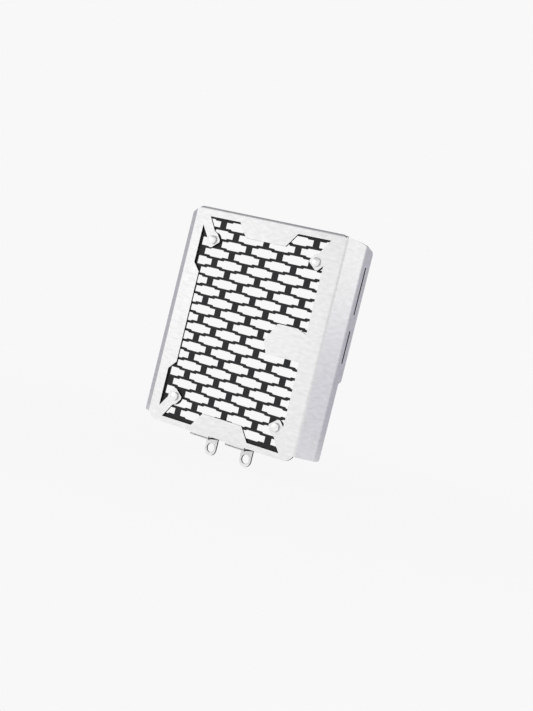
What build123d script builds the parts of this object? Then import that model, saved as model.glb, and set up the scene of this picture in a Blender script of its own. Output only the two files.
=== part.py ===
from build123d import *
from math import atan2, cos, degrees, radians, sin, tan
import os

# Motorcycle radiator guard: a folded stainless frame, a brick-pattern grille behind its window
# and four rivets. Millimetres, +X to the right of the front view, +Y to the back, +Z up.
# The origin is midway between the two lug holes, on the lugs' rear faces.

# Frame sheet and folds
SHEET = 2.0
BEND_INSIDE = 1.0
BEND_OUTSIDE = BEND_INSIDE + SHEET

# Flat face, measured between its folds
FACE_WIDTH = 198.0
FACE_HEIGHT = 237.2
CORNER_CUT_WIDTH = 14.0
CORNER_CUT_HEIGHT = 7.0
CORNER_BULGE = 2.2
FOLD_INSET = 1.5
FOLD_RELIEF = 0.5
TOP_RISE = 1.2

# Left lip, bent back a little
LIP_WIDTH = 11.0
LIP_ANGLE = 30.0
LIP_TOP_FALL = 4.2

# Top lip, bent square to the back, with sloping ends
TOP_LIP_DEPTH = 12.0
TOP_LIP_EDGE = 1.0
TOP_LIP_SLOPE = 3.3

# Right wing and the side flange at its end, depths from the front face
WING_WIDTH = 21.5
WING_ANGLE = 45.0
WING_BEND = 6.0
WING_TOP_FALL = 3.4
WING_TOP_BULGE = 1.1
SIDE_BEND = 5.0
SIDE_DEPTH = 30.0
SIDE_LOW_DEPTH = 25.4
SIDE_STEP_DROP = 27.1
SIDE_STEP_HEIGHT = 3.4
SIDE_TOP_FALL = 3.9
SIDE_TOP_CORNER = 5.0
SIDE_CORNER = 3.0
SLOT_DEPTH = 22.3
SLOT_WIDTH = 2.0
UPPER_SLOT_LENGTH = 50.0
UPPER_SLOT_RISE = 69.0
LOWER_SLOT_LENGTH = 35.0
LOWER_SLOT_RISE = 10.0

# Window, its left pockets and its trapezoid tabs
RAIL = 6.0
STILE = 21.4
POCKET_REACH = 9.0
POCKET_START = 51.0
POCKET_SLOPE = 9.0
RAIL_TAB_BASE = 76.4
RAIL_TAB_TIP = 52.8
RAIL_TAB_HEIGHT = 15.4

# Rivet pads at the ends of the corner arms
PAD_REACH = 9.0
PAD_DROP = 8.6
PAD_BLUNT = 1.4
PAD_LEAN = 1.8
PAD_FLANK = 2.9
RIVET_DROP = 24.6
ARM_FOOT = 1.8
ARM_NECK_SHIFT = 0.5
ARM_NECK_RISE = 9.8
ARM_SHOULDER_SHIFT = 3.9
ARM_SHOULDER_RISE = 7.5
POCKET_FOOT_RISE = 2.0
POCKET_TIP_RISE = 14.1

# Bare tab that reaches into the window from the right
SIDE_TAB_REACH = 49.4
SIDE_TAB_HEIGHT = 33.6
SIDE_TAB_SHOULDER = 11.6
SIDE_TAB_SHOULDER_FALL = 4.0
SIDE_TAB_NOSE_DROP = 4.0
SIDE_TAB_NOSE_TOP = 12.0
SIDE_TAB_NOSE_LOW = 6.0
SIDE_TAB_CORNER = 3.0
SIDE_TAB_LAP = 4.0

# Bottom tongues and the drilled lugs at their ends
LUG_SPACING = 48.0
LUG_WIDTH = 15.0
LUG_HOLE = 10.0
LUG_SETBACK = 26.0
LUG_DROP = 10.4
LUG_TIP_DROP = 1.1
TONGUE_WIDTH = 25.4
TONGUE_DROP = 1.0
TONGUE_TAPER = 7.0
TONGUE_LAP = 4.0

# Grille sheet and its stepped bricks
GRILLE_SHEET = 1.5
GRILLE_LAP_SIDE = 5.0
GRILLE_LAP_END = 3.5
GRILLE_CORNER = 5.0
FIELD_MARGIN = 1.8
BRICK_LENGTH = 33.7
BRICK_END_HEIGHT = 6.85
BRICK_STEP = 1.2
BRICK_CROWN = 16.7
COLUMN_PITCH = 41.0
ROW_PITCH = 10.5
FIRST_ROW_DROP = 6.45
LAST_ROW_MARGIN = 2.0
BRICK_LEAST_LENGTH = 6.0

# Rivets
RIVET_SHANK = 4.8
RIVET_FIT = 0.1
RIVET_HEAD = 9.5
RIVET_HEAD_HEIGHT = 2.6
RIVET_RIM = 1.8
RIVET_TAIL = 7.2
RIVET_TAIL_HEIGHT = 1.5
GRILLE_PAD = 17.5

# Places worked out from the sizes above
face_x = FACE_WIDTH / 2
face_z = FACE_HEIGHT / 2
window_x = face_x - STILE
window_z = face_z - RAIL
pocket_x = window_x + POCKET_REACH
rivet_x = window_x - PAD_REACH
rivet_z = window_z - RIVET_DROP
tongue_z = face_z + TONGUE_DROP + BEND_OUTSIDE
lug_hole_z = tongue_z + LUG_DROP
front_y = -(LUG_SETBACK + SHEET)
side_x = face_x + WING_WIDTH * cos(radians(WING_ANGLE))
side_y = WING_WIDTH * sin(radians(WING_ANGLE))
half_fold = tan(radians(WING_ANGLE / 2))
wing_bend_x = face_x - WING_BEND * half_fold
side_bend_y = side_y + SIDE_BEND * half_fold
lip_x = face_x + LIP_WIDTH * cos(radians(LIP_ANGLE))
lip_y = LIP_WIDTH * sin(radians(LIP_ANGLE))
reach = SIDE_DEPTH + SHEET

# Work planes through the middle of the face's front: from the front, from above and from the side
middle = (0, front_y, lug_hole_z)
front = Plane(origin=middle, x_dir=(1, 0, 0), z_dir=(0, -1, 0))
above = Plane(origin=middle, x_dir=(1, 0, 0), z_dir=(0, 0, 1))
beside = Plane(origin=middle, x_dir=(0, 1, 0), z_dir=(1, 0, 0))


def wing_outline():
    """Front outline of the wing's end, from the face's lower right corner up."""
    low = CORNER_CUT_HEIGHT - face_z
    wing_top = face_z - WING_TOP_FALL
    return [
        (face_x - FOLD_INSET, low),
        (side_x + SHEET, low),
        (side_x + SHEET, wing_top),
        (side_x, wing_top),
    ]


def lip_outline():
    """Front outline along the top fold and down the left lip, to the face's lower left corner."""
    low = CORNER_CUT_HEIGHT - face_z
    return [
        (face_x, face_z),
        (FOLD_INSET - face_x, face_z + TOP_RISE),
        (-lip_x, face_z - LIP_TOP_FALL),
        (-lip_x - SHEET, face_z - LIP_TOP_FALL),
        (-lip_x - SHEET, low),
        (FOLD_INSET - face_x, low),
    ]


def side_outline():
    """Side outline that gives the side flange its step and its corners."""
    low = CORNER_CUT_HEIGHT - face_z
    high = face_z - WING_TOP_FALL
    neck = side_bend_y + FOLD_RELIEF
    return [
        (-SHEET, -face_z - SHEET),
        (neck, -face_z - SHEET),
        (neck, low),
        (SIDE_LOW_DEPTH, low),
        (SIDE_LOW_DEPTH, -SIDE_STEP_DROP - SIDE_STEP_HEIGHT / 2),
        (SIDE_DEPTH, -SIDE_STEP_DROP + SIDE_STEP_HEIGHT / 2),
        (SIDE_DEPTH, high - SIDE_TOP_FALL),
        (neck, high),
        (neck, face_z + TOP_RISE + SHEET),
        (-SHEET, face_z + TOP_RISE + SHEET),
    ]


def arm_points():
    """Window outline round one corner arm and its pad, from the rail to the stile."""
    return [
        (window_x + ARM_FOOT, window_z),
        (rivet_x + ARM_NECK_SHIFT, rivet_z + ARM_NECK_RISE),
        (rivet_x - ARM_SHOULDER_SHIFT, rivet_z + ARM_SHOULDER_RISE),
        (rivet_x - PAD_REACH, rivet_z + PAD_BLUNT),
        (rivet_x - PAD_REACH, rivet_z - PAD_BLUNT),
        (rivet_x + PAD_LEAN - PAD_BLUNT, rivet_z - PAD_DROP),
        (rivet_x + PAD_LEAN + PAD_BLUNT, rivet_z - PAD_DROP),
        (window_x, rivet_z - PAD_FLANK),
    ]


def pocket_points():
    """Window outline of one left pocket, from the pad's flank to the straight stile."""
    return [
        (window_x, rivet_z + POCKET_FOOT_RISE),
        (pocket_x, rivet_z + POCKET_TIP_RISE),
        (pocket_x, POCKET_START + POCKET_SLOPE),
        (window_x, POCKET_START),
    ]


def rail_tab_points():
    """Trapezoid tab on a rail, from left to right."""
    tip = window_z - RAIL_TAB_HEIGHT
    return [
        (-RAIL_TAB_BASE / 2, window_z),
        (-RAIL_TAB_TIP / 2, tip),
        (RAIL_TAB_TIP / 2, tip),
        (RAIL_TAB_BASE / 2, window_z),
    ]


def window_outline():
    """Whole window outline, clockwise from the middle of the left stile."""
    right_top = arm_points()
    left_top = [(-x, z) for x, z in arm_points() + pocket_points()]
    top = left_top[::-1] + rail_tab_points() + right_top
    return top + [(x, -z) for x, z in reversed(top)]


def side_tab_outline():
    """Bare tab on the right stile, with a blunt nose."""
    half = SIDE_TAB_HEIGHT / 2
    nose = window_x - SIDE_TAB_REACH
    root = window_x + SIDE_TAB_LAP
    return [
        (root, half - SIDE_TAB_SHOULDER_FALL),
        (window_x, half - SIDE_TAB_SHOULDER_FALL),
        (window_x - SIDE_TAB_SHOULDER, half),
        (nose + SIDE_TAB_NOSE_TOP, half),
        (nose, -SIDE_TAB_NOSE_DROP),
        (nose + SIDE_TAB_NOSE_LOW, -half),
        (root, -half),
    ]


def brick_outline():
    """One brick opening: a slot whose middle stretch is stepped wider with slanted ends."""
    crown = BRICK_CROWN / 2
    half_end = BRICK_END_HEIGHT / 2
    half_middle = half_end + BRICK_STEP
    upper = [
        (-BRICK_LENGTH / 2, half_end),
        (-crown - BRICK_STEP, half_end),
        (-crown, half_middle),
        (crown, half_middle),
        (crown + BRICK_STEP, half_end),
        (BRICK_LENGTH / 2, half_end),
    ]
    return upper + [(x, -z) for x, z in reversed(upper)]


def brick_places():
    """Centres of the bricks: every other row is shifted by half a brick."""
    field = pocket_x - FIELD_MARGIN
    half_middle = BRICK_END_HEIGHT / 2 + BRICK_STEP
    first = window_z - FIRST_ROW_DROP
    rows = int((first + window_z - half_middle - LAST_ROW_MARGIN) / ROW_PITCH) + 1
    columns = int(field / COLUMN_PITCH) + 2
    places = []
    for row in range(rows):
        shift = COLUMN_PITCH / 2 if row % 2 else 0
        for column in range(-columns, columns + 1):
            x = column * COLUMN_PITCH + shift
            if abs(x) - BRICK_LENGTH / 2 < field - BRICK_LEAST_LENGTH:
                places.append((x, first - row * ROW_PITCH))
    return places


# One bottom tongue with its lug, over the origin's X
with BuildPart() as tongue:
    with BuildSketch(beside):
        with BuildLine():
            FilletPolyline(
                (0, TONGUE_LAP - face_z),
                (0, -tongue_z),
                (LUG_SETBACK, -tongue_z),
                (LUG_SETBACK, -lug_hole_z - LUG_TIP_DROP - LUG_WIDTH / 2),
                radius=[BEND_OUTSIDE, BEND_INSIDE],
            )
            offset(amount=SHEET, side=Side.LEFT)
        make_face()
    extrude(amount=TONGUE_WIDTH / 2, both=True)
    with BuildSketch(above):
        with BuildLine():
            taper_end = BEND_OUTSIDE + TONGUE_TAPER
            right_edge = [
                (TONGUE_WIDTH / 2, -SHEET),
                (TONGUE_WIDTH / 2, BEND_OUTSIDE),
                (LUG_WIDTH / 2, taper_end),
                (LUG_WIDTH / 2, LUG_SETBACK + 2 * SHEET),
            ]
            Polyline(*right_edge, *[(-x, y) for x, y in reversed(right_edge)], close=True)
        make_face()
    extrude(amount=2 * lug_hole_z, both=True, mode=Mode.INTERSECT)
    with BuildSketch(front):
        with Locations((0, -lug_hole_z - LUG_TIP_DROP)):
            Circle(LUG_WIDTH / 2)
            Rectangle(TONGUE_WIDTH, lug_hole_z, align=(Align.CENTER, Align.MIN))
        with Locations((0, -lug_hole_z)):
            Circle(LUG_HOLE / 2, mode=Mode.SUBTRACT)
    extrude(amount=reach, both=True, mode=Mode.INTERSECT)

# Top lip with mitred and sloping ends
with BuildPart() as top_lip:
    with BuildSketch(beside):
        with BuildLine():
            FilletPolyline(
                (0, face_z - RAIL / 2),
                (0, face_z + BEND_OUTSIDE),
                (TOP_LIP_DEPTH, face_z + BEND_OUTSIDE),
                radius=BEND_OUTSIDE,
            )
            offset(amount=SHEET, side=Side.RIGHT)
        make_face()
    extrude(amount=face_x, both=True)
    mitre = TOP_LIP_DEPTH - BEND_OUTSIDE - TOP_LIP_EDGE
    rear_edges = top_lip.faces().sort_by(Axis.Y)[-1].edges().filter_by(Axis.Z)
    chamfer(rear_edges, length=mitre)
    with BuildSketch(front):
        with BuildLine():
            left_end = FOLD_INSET + FOLD_RELIEF - face_x
            right_end = wing_bend_x - FOLD_RELIEF
            Polyline(
                (left_end, 0),
                (left_end, face_z),
                (left_end + TOP_LIP_SLOPE, face_z + BEND_OUTSIDE),
                (right_end - TOP_LIP_SLOPE, face_z + BEND_OUTSIDE),
                (right_end, face_z),
                (right_end, 0),
                close=True,
            )
        make_face()
    extrude(amount=reach, both=True, mode=Mode.INTERSECT)

# Frame: lip, face, wing and side flange folded from one strip, then cut
with BuildPart() as frame:
    with BuildSketch(above):
        with BuildLine():
            FilletPolyline(
                (-lip_x, lip_y),
                (-face_x, 0),
                (face_x, 0),
                (side_x, side_y),
                (side_x, SIDE_DEPTH),
                radius=[BEND_OUTSIDE, WING_BEND, SIDE_BEND],
            )
            offset(amount=SHEET, side=Side.LEFT)
        make_face()
    extrude(amount=face_z + TOP_RISE, both=True)
    with BuildSketch(front):
        with BuildLine():
            wing_end = Polyline(*wing_outline())
            lip_end = Polyline(*lip_outline())
            left_foot = (CORNER_CUT_WIDTH - face_x, -face_z)
            right_foot = (face_x - CORNER_CUT_WIDTH, -face_z)
            SagittaArc(wing_end @ 1, lip_end @ 0, -WING_TOP_BULGE)
            SagittaArc(lip_end @ 1, left_foot, -CORNER_BULGE)
            Line(left_foot, right_foot)
            SagittaArc(right_foot, wing_end @ 0, -CORNER_BULGE)
        make_face()
    extrude(amount=reach, both=True, mode=Mode.INTERSECT)
    with BuildSketch(beside.offset(side_x)):
        with BuildLine():
            corners = [0, 0, 0, SIDE_CORNER, 0, 0, SIDE_TOP_CORNER, 0, 0, 0]
            FilletPolyline(*side_outline(), radius=corners, close=True)
        make_face()
        with Locations((SLOT_DEPTH, UPPER_SLOT_RISE)):
            SlotOverall(UPPER_SLOT_LENGTH, SLOT_WIDTH, rotation=90, mode=Mode.SUBTRACT)
        with Locations((SLOT_DEPTH, LOWER_SLOT_RISE)):
            SlotOverall(LOWER_SLOT_LENGTH, SLOT_WIDTH, rotation=90, mode=Mode.SUBTRACT)
    extrude(amount=side_x + lip_x + 2 * SHEET, both=True, mode=Mode.INTERSECT)
    with BuildSketch(front):
        with BuildLine():
            Polyline(*window_outline(), close=True)
        make_face()
    extrude(amount=2 * SHEET, both=True, mode=Mode.SUBTRACT)
    with BuildSketch(front):
        with BuildLine():
            tab_corners = [0, 0] + [SIDE_TAB_CORNER] * 4 + [0]
            FilletPolyline(*side_tab_outline(), radius=tab_corners, close=True)
        make_face()
    extrude(amount=-SHEET)
    with BuildSketch(front):
        with GridLocations(2 * rivet_x, 2 * rivet_z, 2, 2):
            Circle((RIVET_SHANK + RIVET_FIT) / 2)
    extrude(amount=2 * SHEET, both=True, mode=Mode.SUBTRACT)
    fold_end = Axis((face_x, front_y, lug_hole_z + face_z), (0, 1, 0))
    add(top_lip.part.rotate(fold_end, degrees(atan2(TOP_RISE, FACE_WIDTH - FOLD_INSET))))
    with Locations((-LUG_SPACING / 2, 0, 0), (LUG_SPACING / 2, 0, 0)):
        add(tongue.part)

# Grille: a plain sheet on the back of the face, cut with rows of bricks
with BuildPart() as grille:
    with BuildSketch(front.offset(-SHEET)):
        RectangleRounded(
            2 * (pocket_x + GRILLE_LAP_SIDE), 2 * (window_z + GRILLE_LAP_END), GRILLE_CORNER
        )
    extrude(amount=-GRILLE_SHEET)
    with BuildSketch(front.offset(-SHEET)):
        with Locations(*brick_places()):
            Polygon(*brick_outline(), align=None)
        Rectangle(2 * (pocket_x - FIELD_MARGIN), 2 * window_z, mode=Mode.INTERSECT)
        with GridLocations(2 * rivet_x, 2 * rivet_z, 2, 2):
            Circle(GRILLE_PAD / 2, mode=Mode.SUBTRACT)
            Circle((RIVET_SHANK + RIVET_FIT) / 2)
    extrude(amount=-GRILLE_SHEET, mode=Mode.SUBTRACT)

# One rivet, head up, seated at the height of the face's front
with BuildPart() as rivet:
    grip = SHEET + GRILLE_SHEET
    tail_end = grip + RIVET_TAIL_HEIGHT
    dome = RIVET_HEAD_HEIGHT - RIVET_RIM
    dome_radius = (RIVET_HEAD ** 2 / 4 + dome ** 2) / (2 * dome)
    with BuildSketch(Plane.XZ):
        with BuildLine():
            crown = (0, RIVET_HEAD_HEIGHT)
            edge = (RIVET_HEAD / 2, RIVET_RIM)
            RadiusArc(crown, edge, dome_radius)
            Polyline(
                edge,
                (RIVET_HEAD / 2, 0),
                (RIVET_SHANK / 2, 0),
                (RIVET_SHANK / 2, -grip),
                (RIVET_TAIL / 2, -grip),
                (RIVET_TAIL / 2, -tail_end),
                (0, -tail_end),
                crown,
            )
        make_face()
    revolve(axis=Axis.Z)

with BuildPart(front) as rivets:
    with GridLocations(2 * rivet_x, 2 * rivet_z, 2, 2):
        add(rivet.part)

frame.part.label = "frame"
grille.part.label = "grille"
rivets.part.label = "rivets"

os.makedirs("parts", exist_ok=True)
export_step(frame.part, "parts/frame.step")
export_step(grille.part, "parts/grille.step")
export_step(rivets.part, "parts/rivets.step")
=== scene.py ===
"""Looks of a motorcycle radiator guard: a folded steel frame, a black grille and four rivets."""

import logging
import math
from dataclasses import dataclass, field
from enum import Enum
from typing import Callable, ClassVar, Mapping, Optional, Sequence, Union

import bmesh
import bpy
from mathutils import Euler, Matrix, Vector
from mathutils.bvhtree import BVHTree


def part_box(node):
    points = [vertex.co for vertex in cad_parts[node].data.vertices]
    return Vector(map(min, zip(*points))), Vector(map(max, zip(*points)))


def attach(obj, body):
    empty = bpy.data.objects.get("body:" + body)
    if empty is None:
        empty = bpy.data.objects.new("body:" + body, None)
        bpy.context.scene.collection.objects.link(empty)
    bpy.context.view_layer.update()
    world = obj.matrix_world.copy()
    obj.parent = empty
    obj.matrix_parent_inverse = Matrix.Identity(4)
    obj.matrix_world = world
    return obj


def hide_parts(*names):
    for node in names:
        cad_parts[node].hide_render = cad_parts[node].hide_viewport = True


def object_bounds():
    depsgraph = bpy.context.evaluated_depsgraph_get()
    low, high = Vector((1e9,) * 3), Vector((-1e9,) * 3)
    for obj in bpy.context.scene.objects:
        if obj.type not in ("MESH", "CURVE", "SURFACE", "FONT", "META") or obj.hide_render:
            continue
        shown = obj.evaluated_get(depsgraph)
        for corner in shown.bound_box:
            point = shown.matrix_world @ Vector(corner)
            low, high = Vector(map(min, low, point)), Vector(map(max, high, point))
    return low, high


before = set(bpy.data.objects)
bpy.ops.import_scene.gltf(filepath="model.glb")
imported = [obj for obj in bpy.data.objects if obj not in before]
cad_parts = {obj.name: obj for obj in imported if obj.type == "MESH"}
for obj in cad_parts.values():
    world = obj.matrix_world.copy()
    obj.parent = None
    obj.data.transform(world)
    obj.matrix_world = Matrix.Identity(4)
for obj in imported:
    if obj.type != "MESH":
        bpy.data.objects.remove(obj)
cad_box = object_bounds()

log = logging.getLogger("radiator_guard")

MM = 0.001
BODY = "root"

# A Mix node has sockets of the same name for numbers and colours, so they are called by number.
MIX_SHARE = 0
NUMBER_A = 2
NUMBER_B = 3
MIXED_NUMBER = 0
COLOUR_A = 6
COLOUR_B = 7
MIXED_COLOUR = 2

Colour = tuple[float, float, float, float]
Point = tuple[float, float, float]
InputValue = Union[float, Sequence[float], bpy.types.NodeSocket]


class Slot(Enum):
    """Material slots of the record, one for each of the guard's finishes."""

    STEEL = "brushed_stainless"
    COAT = "black_powder_coat"
    RIVET = "rivet_aluminium"


class Skin(Enum):
    """Which finish a sheet's face takes, by its place in the piece's material list."""

    SHEET = 0
    CUT = 1


def linear(hex_colour: str) -> Colour:
    """Turns an sRGB colour into the linear one that shaders use.

    Args:
        hex_colour: Colour as #RRGGBB.

    Returns:
        Linear red, green and blue with an alpha of 1.
    """
    channels = [int(hex_colour[i : i + 2], 16) / 255 for i in (1, 3, 5)]
    red, green, blue = [c / 12.92 if c <= 0.04045 else ((c + 0.055) / 1.055) ** 2.4 for c in channels]
    return red, green, blue, 1.0


def add_node(
    tree: bpy.types.NodeTree,
    kind: str,
    inputs: Optional[Mapping[Union[str, int], InputValue]] = None,
    **settings: object,
) -> bpy.types.Node:
    """Adds one shader node with its settings, values and links.

    Args:
        tree: Node tree that gets the node.
        kind: The node's type without its ShaderNode start.
        inputs: Values, or the output sockets to link, by the input's name or number.
        settings: Properties of the node itself.

    Returns:
        The new node.
    """
    node = tree.nodes.new("ShaderNode" + kind)
    for name, value in settings.items():
        setattr(node, name, value)
    for key, value in (inputs or {}).items():
        if isinstance(value, bpy.types.NodeSocket):
            tree.links.new(value, node.inputs[key])
        else:
            node.inputs[key].default_value = value
    return node


def new_material(name: str) -> bpy.types.Material:
    """Makes a material with an empty node tree.

    Args:
        name: The material's name.

    Returns:
        The new material.
    """
    material = bpy.data.materials.new(name)
    material.use_nodes = True
    material.node_tree.nodes.clear()
    return material


def per_metre(size_mm: float) -> float:
    """Scale at which a pattern repeats about once in a size given in millimetres."""
    return 1 / (size_mm * MM)


@dataclass(frozen=True)
class BrushedStainless:
    """Belt-brushed stainless sheet: pale, with a soft sheen that is drawn out across the lines.

    The belt's lines are under 0.1 mm wide, too fine to show, so they are drawn several times coarser.
    """

    grain_map: str
    bright: str = "#FBFBFB"
    dull: str = "#EAEAEA"
    roughness_low: float = 0.26
    roughness_high: float = 0.40
    drawn_out: float = 0.5
    quarter_turn: float = 0.25
    line_width_mm: float = 0.45
    line_length_mm: float = 28.0
    line_detail: float = 3.0
    line_detail_share: float = 0.6
    band_width_mm: float = 3.5
    band_length_mm: float = 9.0
    band_detail: float = 2.0
    band_share: float = 0.65
    noise_low: float = 0.3
    noise_high: float = 0.7
    groove_mm: float = 0.012
    groove_strength: float = 0.5

    def material(self) -> bpy.types.Material:
        """Builds the finish.

        Returns:
            The brushed steel material.
        """
        material = new_material("brushed_stainless_sheet")
        tree = material.node_tree
        run = add_node(tree, "UVMap", uv_map=self.grain_map)
        line_scale = (per_metre(self.line_length_mm), per_metre(self.line_width_mm), 1.0)
        band_scale = (per_metre(self.band_length_mm), per_metre(self.band_width_mm), 1.0)
        line_place = add_node(tree, "Mapping", {"Vector": run.outputs["UV"], "Scale": line_scale})
        band_place = add_node(tree, "Mapping", {"Vector": run.outputs["UV"], "Scale": band_scale})
        lines = add_node(
            tree,
            "TexNoise",
            {
                "Vector": line_place.outputs["Vector"],
                "Scale": 1.0,
                "Detail": self.line_detail,
                "Roughness": self.line_detail_share,
            },
        )
        bands = add_node(
            tree,
            "TexNoise",
            {"Vector": band_place.outputs["Vector"], "Scale": 1.0, "Detail": self.band_detail},
        )
        tone = add_node(
            tree,
            "Mix",
            {
                MIX_SHARE: self.band_share,
                NUMBER_A: lines.outputs["Fac"],
                NUMBER_B: bands.outputs["Fac"],
            },
            data_type="FLOAT",
        )
        contrast = add_node(
            tree,
            "MapRange",
            {
                "Value": tone.outputs[MIXED_NUMBER],
                "From Min": self.noise_low,
                "From Max": self.noise_high,
            },
        )
        colour = add_node(
            tree,
            "Mix",
            {
                MIX_SHARE: contrast.outputs["Result"],
                COLOUR_A: linear(self.dull),
                COLOUR_B: linear(self.bright),
            },
            data_type="RGBA",
        )
        roughness = add_node(
            tree,
            "MapRange",
            {
                "Value": lines.outputs["Fac"],
                "From Min": self.noise_low,
                "From Max": self.noise_high,
                "To Min": self.roughness_low,
                "To Max": self.roughness_high,
            },
        )
        grooves = add_node(
            tree,
            "Bump",
            {
                "Height": lines.outputs["Fac"],
                "Strength": self.groove_strength,
                "Distance": self.groove_mm * MM,
            },
        )
        along = add_node(tree, "Tangent", direction_type="UV_MAP", uv_map=self.grain_map)
        shader = add_node(
            tree,
            "BsdfPrincipled",
            {
                "Base Color": colour.outputs[MIXED_COLOUR],
                "Metallic": 1.0,
                "Roughness": roughness.outputs["Result"],
                "Anisotropic": self.drawn_out,
                "Anisotropic Rotation": self.quarter_turn,
                "Tangent": along.outputs["Tangent"],
                "Normal": grooves.outputs["Normal"],
            },
        )
        add_node(tree, "OutputMaterial", {"Surface": shader.outputs["BSDF"]})
        return material


@dataclass(frozen=True)
class LaserCutEdge:
    """Laser-cut stainless edge: near black, which is painted shade on the cut walls, dull, with fine
    lines through its thickness.
    """

    # Both colours are near black: painted shade on the cut walls.
    bright: str = "#1E1E20"
    dark: str = "#0E0E0F"
    roughness: float = 0.7
    specular_level: float = 0.2
    line_mm: float = 0.5
    through_mm: float = 6.0
    line_detail: float = 2.0
    groove_mm: float = 0.03
    groove_strength: float = 0.6

    def material(self) -> bpy.types.Material:
        """Builds the finish.

        Returns:
            The cut edge's material.
        """
        material = new_material("laser_cut_edge_painted_shade")
        tree = material.node_tree
        place = add_node(tree, "TexCoord")
        scale = (per_metre(self.line_mm), per_metre(self.through_mm), per_metre(self.line_mm))
        lines_place = add_node(tree, "Mapping", {"Vector": place.outputs["Object"], "Scale": scale})
        lines = add_node(
            tree,
            "TexNoise",
            {"Vector": lines_place.outputs["Vector"], "Scale": 1.0, "Detail": self.line_detail},
        )
        colour = add_node(
            tree,
            "Mix",
            {
                MIX_SHARE: lines.outputs["Fac"],
                COLOUR_A: linear(self.dark),
                COLOUR_B: linear(self.bright),
            },
            data_type="RGBA",
        )
        grooves = add_node(
            tree,
            "Bump",
            {
                "Height": lines.outputs["Fac"],
                "Strength": self.groove_strength,
                "Distance": self.groove_mm * MM,
            },
        )
        shader = add_node(
            tree,
            "BsdfPrincipled",
            {
                "Base Color": colour.outputs[MIXED_COLOUR],
                "Roughness": self.roughness,
                "Specular IOR Level": self.specular_level,
                "Normal": grooves.outputs["Normal"],
            },
        )
        add_node(tree, "OutputMaterial", {"Surface": shader.outputs["BSDF"]})
        return material


@dataclass(frozen=True)
class PowderCoat:
    """Black polyester powder coat, baked on: satin charcoal with a fine orange peel."""

    name: str = "black_powder_coat"
    dark: str = "#222325"
    pale: str = "#2C2D30"
    roughness_low: float = 0.42
    roughness_high: float = 0.55
    ior: float = 1.5
    specular_level: float = 0.33
    peel_mm: float = 0.9
    peel_detail: float = 2.0
    peel_depth_mm: float = 0.05
    peel_strength: float = 0.5
    cloud_mm: float = 14.0
    cloud_detail: float = 3.0

    def material(self) -> bpy.types.Material:
        """Builds the finish.

        Returns:
            The coat's material.
        """
        material = new_material(self.name)
        tree = material.node_tree
        place = add_node(tree, "TexCoord").outputs["Object"]
        peel = add_node(
            tree,
            "TexNoise",
            {"Vector": place, "Scale": per_metre(self.peel_mm), "Detail": self.peel_detail},
        )
        cloud = add_node(
            tree,
            "TexNoise",
            {"Vector": place, "Scale": per_metre(self.cloud_mm), "Detail": self.cloud_detail},
        )
        colour = add_node(
            tree,
            "Mix",
            {
                MIX_SHARE: cloud.outputs["Fac"],
                COLOUR_A: linear(self.dark),
                COLOUR_B: linear(self.pale),
            },
            data_type="RGBA",
        )
        roughness = add_node(
            tree,
            "MapRange",
            {
                "Value": peel.outputs["Fac"],
                "To Min": self.roughness_low,
                "To Max": self.roughness_high,
            },
        )
        bumps = add_node(
            tree,
            "Bump",
            {
                "Height": peel.outputs["Fac"],
                "Strength": self.peel_strength,
                "Distance": self.peel_depth_mm * MM,
            },
        )
        shader = add_node(
            tree,
            "BsdfPrincipled",
            {
                "Base Color": colour.outputs[MIXED_COLOUR],
                "Roughness": roughness.outputs["Result"],
                "IOR": self.ior,
                "Specular IOR Level": self.specular_level,
                "Normal": bumps.outputs["Normal"],
            },
        )
        add_node(tree, "OutputMaterial", {"Surface": shader.outputs["BSDF"]})
        return material


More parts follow.
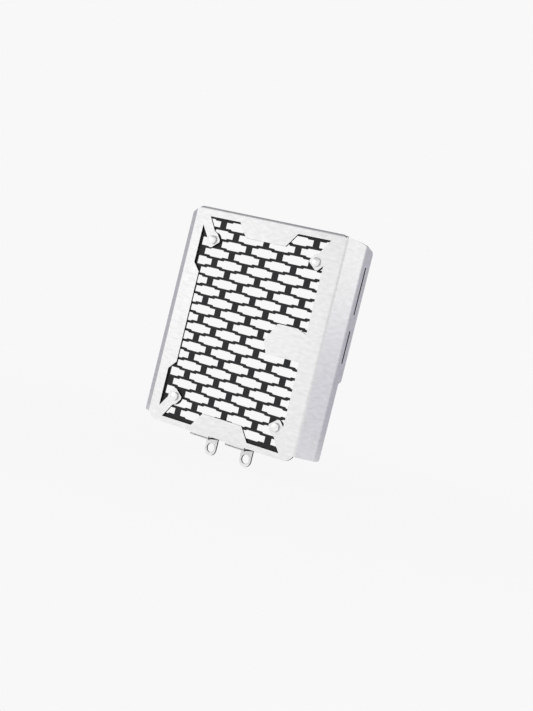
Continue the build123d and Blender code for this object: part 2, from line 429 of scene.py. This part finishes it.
@dataclass(frozen=True)
class HeadedAluminium:
    """Cold-headed aluminium rivet: near white and smooth, with faint rings left by the heading die.

    The die's rings are a few hundredths of a millimetre apart, so they are drawn coarser to show.
    The head's side is a little greyer: painted shade.
    """

    ring_map: str
    rim_mm: float
    bright: str = "#FDFDFD"
    dull: str = "#F4F4F5"
    # Grey of the head's side: painted shade.
    side_shade: str = "#DADADC"
    side_shade_blend_mm: float = 0.15
    roughness_low: float = 0.16
    roughness_high: float = 0.26
    ring_mm: float = 0.3
    ring_detail: float = 1.0
    groove_mm: float = 0.006
    groove_strength: float = 0.4

    def material(self) -> bpy.types.Material:
        """Builds the finish.

        Returns:
            The rivet's material.
        """
        material = new_material("headed_aluminium")
        tree = material.node_tree
        round_about = add_node(tree, "UVMap", uv_map=self.ring_map)
        scale = (1.0, per_metre(self.ring_mm), 1.0)
        place = add_node(tree, "Mapping", {"Vector": round_about.outputs["UV"], "Scale": scale})
        rings = add_node(
            tree,
            "TexNoise",
            {"Vector": place.outputs["Vector"], "Scale": 1.0, "Detail": self.ring_detail},
        )
        face = add_node(
            tree,
            "Mix",
            {
                MIX_SHARE: rings.outputs["Fac"],
                COLOUR_A: linear(self.dull),
                COLOUR_B: linear(self.bright),
            },
            data_type="RGBA",
        )
        out_from_middle = add_node(tree, "SeparateXYZ", {"Vector": round_about.outputs["UV"]})
        # Painted shade: the colour turns greyer over the head's side, at the rim.
        shaded_side_share = add_node(
            tree,
            "MapRange",
            {
                "Value": out_from_middle.outputs["Y"],
                "From Min": (self.rim_mm - self.side_shade_blend_mm) * MM,
                "From Max": self.rim_mm * MM,
            },
        )
        colour = add_node(
            tree,
            "Mix",
            {
                MIX_SHARE: shaded_side_share.outputs["Result"],
                COLOUR_A: face.outputs[MIXED_COLOUR],
                COLOUR_B: linear(self.side_shade),
            },
            data_type="RGBA",
        )
        roughness = add_node(
            tree,
            "MapRange",
            {
                "Value": rings.outputs["Fac"],
                "To Min": self.roughness_low,
                "To Max": self.roughness_high,
            },
        )
        grooves = add_node(
            tree,
            "Bump",
            {
                "Height": rings.outputs["Fac"],
                "Strength": self.groove_strength,
                "Distance": self.groove_mm * MM,
            },
        )
        shader = add_node(
            tree,
            "BsdfPrincipled",
            {
                "Base Color": colour.outputs[MIXED_COLOUR],
                "Metallic": 1.0,
                "Roughness": roughness.outputs["Result"],
                "Normal": grooves.outputs["Normal"],
            },
        )
        add_node(tree, "OutputMaterial", {"Surface": shader.outputs["BSDF"]})
        return material


def add_piece(name: str, mesh: bmesh.types.BMesh, replaced: str) -> bpy.types.Object:
    """Turns a finished bmesh into a piece of the guard.

    Args:
        name: The piece's name.
        mesh: Its shape, which is freed.
        replaced: The CAD node that it stands for.

    Returns:
        The new object, which rides on the guard's only body.
    """
    data = bpy.data.meshes.new(name)
    mesh.to_mesh(data)
    mesh.free()
    data.shade_smooth()
    piece = bpy.data.objects.new(name, data)
    bpy.context.scene.collection.objects.link(piece)
    level = piece.modifiers.new("level_flats", "WEIGHTED_NORMAL")
    level.keep_sharp = True
    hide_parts(replaced)
    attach(piece, BODY)
    return piece


def map_faces(
    mesh: bmesh.types.BMesh, name: str, place: Callable[[Vector, Vector], tuple[float, float]]
) -> None:
    """Writes a map in metres for patterns that follow the surface.

    Args:
        mesh: Shape that gets the map.
        name: The map's name.
        place: Gives a corner's two coordinates from its point and its face's normal.
    """
    layer = mesh.loops.layers.uv.new(name)
    for face in mesh.faces:
        for loop in face.loops:
            loop[layer].uv = place(loop.vert.co, face.normal)


@dataclass
class CutSheet:
    """A cut and folded sheet: the CAD node's own form, with its sharp edges broken."""

    node: str
    name: str
    sheet_mm: float
    edge_break_mm: float
    slot: Slot
    edge_segments: int = 2
    crease_degrees: float = 35.0
    knife_degrees: float = 100.0
    flat_degrees: float = 0.3
    merge_mm: float = 0.002
    depth_slack: float = 0.15

    def merged(self) -> bmesh.types.BMesh:
        """Copies the node, merges its triangles into whole faces and sorts its skin from its cuts.

        Returns:
            The sheet's shape, with sharp edges.
        """
        mesh = bmesh.new()
        mesh.from_mesh(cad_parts[self.node].data)
        bmesh.ops.remove_doubles(mesh, verts=mesh.verts[:], dist=self.merge_mm * MM)
        self.sort_skin(mesh)
        bmesh.ops.dissolve_limit(
            mesh,
            angle_limit=math.radians(self.flat_degrees),
            verts=mesh.verts[:],
            edges=mesh.edges[:],
            delimit={"MATERIAL"},
        )
        return mesh

    def break_edges(self, mesh: bmesh.types.BMesh) -> None:
        """Rounds the sharp edges a little, apart from the few knife edges, which have no room for it.

        Args:
            mesh: The merged sheet.
        """
        crease = math.radians(self.crease_degrees)
        knife = math.radians(self.knife_degrees)
        sharp = [edge for edge in mesh.edges if crease < edge.calc_face_angle(0.0) < knife]
        bmesh.ops.bevel(
            mesh,
            geom=sharp,
            offset=self.edge_break_mm * MM,
            offset_type="OFFSET",
            segments=self.edge_segments,
            profile=0.5,
            affect="EDGES",
            clamp_overlap=False,
            material=-1,
        )

    def sort_skin(self, mesh: bmesh.types.BMesh) -> None:
        """Marks as cut each face that has more metal behind it than the sheet is thick.

        Args:
            mesh: The merged sheet.
        """
        tree = BVHTree.FromBMesh(mesh)
        skin_depth = self.sheet_mm * MM * (1 + self.depth_slack)
        start = self.merge_mm * MM
        for face in mesh.faces:
            centre = face.calc_center_median_weighted()
            _, _, _, depth = tree.ray_cast(centre - face.normal * start, -face.normal)
            deep = depth is None or depth > skin_depth
            face.material_index = (Skin.CUT if deep else Skin.SHEET).value


@dataclass
class FoldedFrame(CutSheet):
    """The guard's folded stainless frame."""

    grain_map: ClassVar[str] = "grain"
    node: str = "frame"
    name: str = "folded_frame"
    sheet_mm: float = 2.0
    edge_break_mm: float = 0.15
    slot: Slot = Slot.STEEL
    level_share: float = 0.7

    def grain_place(self, point: Vector, normal: Vector) -> tuple[float, float]:
        """Place on the sheet: along the brushing, then across it.

        Args:
            point: A corner of the sheet.
            normal: Its face's normal.

        Returns:
            Both places in metres.
        """
        if abs(normal.z) > self.level_share:
            return point.x, point.y
        return point.x + point.y, point.z

    def build(self) -> bpy.types.Object:
        """Builds and dresses the frame.

        Returns:
            The finished frame.
        """
        mesh = self.merged()
        self.break_edges(mesh)
        map_faces(mesh, self.grain_map, self.grain_place)
        piece = add_piece(self.name, mesh, self.node)
        piece.data.materials.append(BrushedStainless(self.grain_map).material())
        # The cut faces take the near-black edge finish, which is painted shade.
        piece.data.materials.append(LaserCutEdge().material())
        return piece


@dataclass
class BrickGrille(CutSheet):
    """The black grille with its rows of stepped bricks."""

    node: str = "grille"
    name: str = "brick_grille"
    sheet_mm: float = 1.5
    edge_break_mm: float = 0.12
    slot: Slot = Slot.COAT
    coat_mm: float = 0.12
    tip_mm: float = 2.5
    short_mm: float = 0.3
    # The coat in the cuts is darker than on the faces: painted shade.
    cut_shade_dark: str = "#141415"
    cut_shade_pale: str = "#1C1C1E"

    def lay_coat(self, mesh: bmesh.types.BMesh) -> None:
        """Moves the cut walls out by the coat that builds up on them, but not at narrow tips.

        Args:
            mesh: The merged grille, which is flat and lies across Y.
        """
        mesh.normal_update()
        knife = math.radians(self.knife_degrees)
        tips = [
            edge.verts[0].co.copy()
            for edge in mesh.edges
            if edge.calc_face_angle(0.0) > knife or edge.calc_length() < self.short_mm * MM
        ]
        moves: dict[bmesh.types.BMVert, Vector] = {}
        for vert in mesh.verts:
            if all((vert.co - tip).xz.length > self.tip_mm * MM for tip in tips):
                moves[vert] = vert.normal * vert.calc_shell_factor() * self.coat_mm * MM
        for vert, move in moves.items():
            vert.co += Vector((move.x, 0, move.z))

    def build(self) -> bpy.types.Object:
        """Builds and dresses the grille.

        Returns:
            The finished grille.
        """
        mesh = self.merged()
        self.lay_coat(mesh)
        self.break_edges(mesh)
        piece = add_piece(self.name, mesh, self.node)
        piece.data.materials.append(PowderCoat().material())
        # The cut walls take a darker coat, as painted shade.
        painted_shade_inside = PowderCoat("black_powder_coat_painted_shade_in_cuts", self.cut_shade_dark, self.cut_shade_pale)
        piece.data.materials.append(painted_shade_inside.material())
        return piece


@dataclass
class DomeRivets:
    """Four dome-head rivets that hold the grille to the frame's pads."""

    ring_map: ClassVar[str] = "rings"
    node: str = "rivets"
    name: str = "dome_rivets"
    head_mm: float = 9.5
    head_height_mm: float = 2.6
    head_rim_mm: float = 1.8
    head_round_mm: float = 0.35
    shank_mm: float = 4.8
    tail_mm: float = 7.2
    tail_height_mm: float = 1.5
    tail_round_mm: float = 0.5
    dome_steps: int = 8
    round_steps: int = 4
    turn_steps: int = 64
    merge_mm: float = 0.001
    low: Vector = field(init=False)
    high: Vector = field(init=False)

    def __post_init__(self) -> None:
        """Reads the box that the four rivets fill."""
        self.low, self.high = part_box(self.node)

    def centres(self) -> list[Vector]:
        """Gives the rivets' centres, at the height of their seats.

        Returns:
            One point for each rivet.
        """
        inset = self.head_mm / 2 * MM
        seat = self.low.y + self.head_height_mm * MM
        sides = (self.low.x + inset, self.high.x - inset)
        levels = (self.low.z + inset, self.high.z - inset)
        return [Vector((x, seat, z)) for x in sides for z in levels]

    def profile(self) -> list[tuple[float, float]]:
        """Works out half of a rivet's section, from the crown to the tail's end.

        Returns:
            Radius and height over the seat of each point, in millimetres.
        """
        reach = self.head_mm / 2
        rise = self.head_height_mm - self.head_rim_mm
        ball = (reach**2 + rise**2) / (2 * rise)
        bead = self.head_round_mm
        sweep = math.asin((reach - bead) / (ball - bead))
        ball_height = self.head_height_mm - ball
        bead_height = ball_height + (ball - bead) * math.cos(sweep)
        turns = [sweep * step / self.dome_steps for step in range(self.dome_steps)]
        dome = [(ball * math.sin(turn), ball_height + ball * math.cos(turn)) for turn in turns]
        rest = math.pi / 2 - sweep
        turns = [sweep + rest * step / self.round_steps for step in range(self.round_steps + 1)]
        dome += [
            (reach - bead + bead * math.sin(turn), bead_height + bead * math.cos(turn)) for turn in turns
        ]
        tail_end = self.head_height_mm - (self.high.y - self.low.y) / MM
        tail_seat = tail_end + self.tail_height_mm
        radius = self.tail_mm / 2
        edge = self.tail_round_mm
        tail = [
            (radius - edge, tail_seat),
            (radius, tail_seat - edge),
            (radius, tail_end + edge),
            (radius - edge, tail_end),
            (0.0, tail_end),
        ]
        return dome + [(reach, 0.0), (self.shank_mm / 2, 0.0), (self.shank_mm / 2, tail_seat)] + tail

    def ring_place(self, point: Vector, normal: Vector) -> tuple[float, float]:
        """Place on a rivet for its die rings: always the same turn, then the distance from its middle.

        Args:
            point: A corner of a rivet.
            normal: Its face's normal, which makes no difference.

        Returns:
            Zero and the distance in metres.
        """
        nearest = min(self.centres(), key=lambda centre: (centre - point).length)
        return 0.0, math.hypot(point.x - nearest.x, point.z - nearest.z)

    def build(self) -> bpy.types.Object:
        """Builds and dresses the rivets.

        Returns:
            The finished rivets, as one piece.
        """
        mesh = bmesh.new()
        for centre in self.centres():
            points = [
                mesh.verts.new(centre + Vector((radius, -height, 0)) * MM)
                for radius, height in self.profile()
            ]
            edges = [mesh.edges.new(pair) for pair in zip(points, points[1:])]
            bmesh.ops.spin(
                mesh,
                geom=points + edges,
                cent=centre,
                axis=(0, 1, 0),
                angle=math.tau,
                steps=self.turn_steps,
                use_merge=True,
            )
        bmesh.ops.remove_doubles(mesh, verts=mesh.verts[:], dist=self.merge_mm * MM)
        bmesh.ops.recalc_face_normals(mesh, faces=mesh.faces[:])
        map_faces(mesh, self.ring_map, self.ring_place)
        piece = add_piece(self.name, mesh, self.node)
        finish = HeadedAluminium(self.ring_map, self.head_mm / 2)
        piece.data.materials.append(finish.material())
        return piece


@dataclass(frozen=True)
class Softbox:
    """A rectangular soft lamp that faces the guard: sizes in metres, glow as its face's radiance."""

    name: str
    place: Point
    width: float
    height: float
    glow: float

    def light(self, aim: Vector) -> bpy.types.Object:
        """Hangs the lamp.

        Args:
            aim: Point that it faces.

        Returns:
            The lamp.
        """
        data = bpy.data.lights.new(self.name, "AREA")
        data.shape = "RECTANGLE"
        data.size = self.width
        data.size_y = self.height
        data.energy = self.glow * math.pi * self.width * self.height
        lamp = bpy.data.objects.new(self.name, data)
        bpy.context.scene.collection.objects.link(lamp)
        lamp.location = self.place
        lamp.rotation_euler = (aim - Vector(self.place)).to_track_quat("-Z", "Y").to_euler()
        return lamp


@dataclass(frozen=True)
class Card:
    """A plain grey card that only shiny surfaces see, with its place and sizes in metres."""

    name: str
    place: Point
    width: float
    height: float
    colour: str
    lies_flat: bool = False

    def stand(self, aim: Vector) -> bpy.types.Object:
        """Stands the card up, facing the guard, or lays it down, facing up.

        Args:
            aim: Point that it faces.

        Returns:
            The card.
        """
        mesh = bmesh.new()
        # This grid is one metre wide, because its size is the half of its width.
        bmesh.ops.create_grid(mesh, x_segments=1, y_segments=1, size=0.5)
        bmesh.ops.scale(mesh, vec=(self.width, self.height, 1), verts=mesh.verts[:])
        facing = (aim - Vector(self.place)).to_track_quat("Z", "Y").to_matrix().to_4x4()
        turn = Matrix.Identity(4) if self.lies_flat else facing
        bmesh.ops.transform(mesh, matrix=Matrix.Translation(self.place) @ turn, verts=mesh.verts[:])
        data = bpy.data.meshes.new(self.name)
        mesh.to_mesh(data)
        mesh.free()
        material = new_material(self.name)
        glow = add_node(material.node_tree, "Emission", {"Color": linear(self.colour)})
        add_node(material.node_tree, "OutputMaterial", {"Surface": glow.outputs["Emission"]})
        data.materials.append(material)
        card = bpy.data.objects.new(self.name, data)
        bpy.context.scene.collection.objects.link(card)
        card.visible_camera = False
        card.visible_diffuse = False
        card.visible_shadow = False
        return card


@dataclass
class Studio:
    """Pale floor, soft lamps, grey cards and the camera: in metres where a name says no unit."""

    backdrop: str = "#F8F8F8"
    floor_glow: str = "#FFFFFF"
    floor_colour: str = "#EDEDED"
    ambient: float = 0.55
    floor_size: float = 12.0
    shadow_near: float = 0.15
    shadow_far: float = 0.9
    shadow_keep: float = 0.12
    camera_place_mm: Point = (786.4, -1140.7, 161.35)
    camera_azimuth: float = 33.99
    camera_elevation: float = 2.0
    camera_roll: float = 13.92
    lens_mm: float = 64.9
    softboxes: Sequence[Softbox] = (
        Softbox("key_softbox", (-0.85, -0.75, 0.15), 0.8, 0.7, 0.24),
        Softbox("wing_softbox", (0.75, -0.55, 0.55), 0.7, 0.6, 0.15),
    )
    cards: Sequence[Card] = (
        Card("left_card", (-0.295, 0.06, 0.125), 0.26, 0.5, "#B6B5BC"),
        Card("side_card", (0.237, 0.178, 0.125), 0.26, 0.5, "#B6B5BE"),
        Card("turn_card", (0.298, 0.029, 0.125), 0.1, 0.5, "#CACAD0"),
        Card("wing_card", (0.257, -0.12, 0.055), 0.24, 0.23, "#DBDAE1"),
        Card("fold_card", (0.23, -0.62, 0.125), 0.36, 0.6, "#DDDDDE"),
        Card("top_card", (-0.2, 0.0, 0.95), 1.6, 1.2, "#96969B"),
        Card("brow_card", (-0.58, -0.88, 0.8), 1.3, 0.6, "#CCCCCC"),
        Card("low_card", (-0.01, -0.045, -0.008), 0.1, 0.024, "#5A5A5E", lies_flat=True),
    )

    def seen_share(self, tree: bpy.types.NodeTree) -> bpy.types.NodeSocket:
        """Adds nodes that are 1 on rays that show the backdrop: from the camera, metal or glass.

        Args:
            tree: Node tree that gets them.

        Returns:
            The socket with that share.
        """
        path = add_node(tree, "LightPath").outputs
        metal = add_node(
            tree, "Math", {0: path["Is Camera Ray"], 1: path["Is Glossy Ray"]}, operation="MAXIMUM"
        )
        glass = add_node(
            tree, "Math", {0: metal.outputs[0], 1: path["Is Transmission Ray"]}, operation="MAXIMUM"
        )
        return glass.outputs[0]

    def fill_world(self) -> None:
        """Fills the world with soft light, and shows the backdrop's colour."""
        world = bpy.data.worlds.new("studio")
        bpy.context.scene.world = world
        world.use_nodes = True
        tree = world.node_tree
        tree.nodes.clear()
        soft = add_node(tree, "Background", {"Strength": self.ambient})
        shown = add_node(tree, "Background", {"Color": linear(self.backdrop), "Strength": 1.0})
        both = add_node(
            tree, "MixShader", {0: self.seen_share(tree), 1: soft.outputs[0], 2: shown.outputs[0]}
        )
        add_node(tree, "OutputWorld", {"Surface": both.outputs[0]})

    def lay_floor(self) -> bpy.types.Object:
        """Lays a pale floor that keeps the guard's shadow and fades into the backdrop.

        Returns:
            The floor.
        """
        mesh = bmesh.new()
        bmesh.ops.create_grid(mesh, x_segments=1, y_segments=1, size=self.floor_size / 2)
        bmesh.ops.translate(mesh, vec=(0, 0, cad_box[0].z), verts=mesh.verts[:])
        data = bpy.data.meshes.new("floor")
        mesh.to_mesh(data)
        mesh.free()
        material = new_material("pale_floor")
        tree = material.node_tree
        place = add_node(tree, "TexCoord").outputs["Object"]
        away = add_node(tree, "VectorMath", {0: place}, operation="LENGTH")
        fade = add_node(
            tree,
            "MapRange",
            {
                "Value": away.outputs["Value"],
                "From Min": self.shadow_near,
                "From Max": self.shadow_far,
            },
            interpolation_type="SMOOTHSTEP",
        ).outputs["Result"]
        glow = add_node(
            tree,
            "MapRange",
            {"Value": fade, "To Min": 1 - self.shadow_keep, "To Max": 1.0},
        )
        seen = add_node(
            tree, "Math", {0: self.seen_share(tree), 1: glow.outputs["Result"]}, operation="MULTIPLY"
        )
        colour = add_node(
            tree,
            "Mix",
            {
                MIX_SHARE: fade,
                COLOUR_A: linear(self.floor_glow),
                COLOUR_B: linear(self.backdrop),
            },
            data_type="RGBA",
        )
        matt = add_node(tree, "BsdfDiffuse", {"Color": linear(self.floor_colour)})
        shown = add_node(tree, "Emission", {"Color": colour.outputs[MIXED_COLOUR]})
        both = add_node(
            tree, "MixShader", {0: seen.outputs[0], 1: matt.outputs[0], 2: shown.outputs[0]}
        )
        add_node(tree, "OutputMaterial", {"Surface": both.outputs[0]})
        data.materials.append(material)
        floor = bpy.data.objects.new("floor", data)
        bpy.context.scene.collection.objects.link(floor)
        return floor

    def set_camera(self) -> bpy.types.Object:
        """Sets up the camera at the photograph's viewing angle.

        Returns:
            The camera.
        """
        data = bpy.data.cameras.new("camera")
        data.lens = self.lens_mm
        camera = bpy.data.objects.new("camera", data)
        bpy.context.scene.collection.objects.link(camera)
        # A camera that isn't turned looks straight down, so it is raised by a quarter turn first.
        tilt = math.radians(90 - self.camera_elevation)
        level = Euler((tilt, 0, math.radians(self.camera_azimuth)))
        roll = Matrix.Rotation(math.radians(self.camera_roll), 4, "Z")
        place = Matrix.Translation(Vector(self.camera_place_mm) * MM)
        camera.matrix_world = place @ level.to_matrix().to_4x4() @ roll
        bpy.context.scene.camera = camera
        return camera

    def build(self) -> None:
        """Builds the whole studio."""
        bpy.context.scene.view_settings.view_transform = "Standard"
        self.fill_world()
        self.lay_floor()
        middle = (cad_box[0] + cad_box[1]) / 2
        for softbox in self.softboxes:
            softbox.light(middle)
        for card in self.cards:
            card.stand(middle)
        self.set_camera()


def main() -> None:
    """Builds the guard's pieces and the studio round them."""
    logging.basicConfig(level=logging.INFO, format="%(name)s: %(message)s")
    for assembly in (FoldedFrame(), BrickGrille(), DomeRivets()):
        piece = assembly.build()
        log.info("%s has %d faces", piece.name, len(piece.data.polygons))
    Studio().build()


if __name__ == "__main__":
    main()
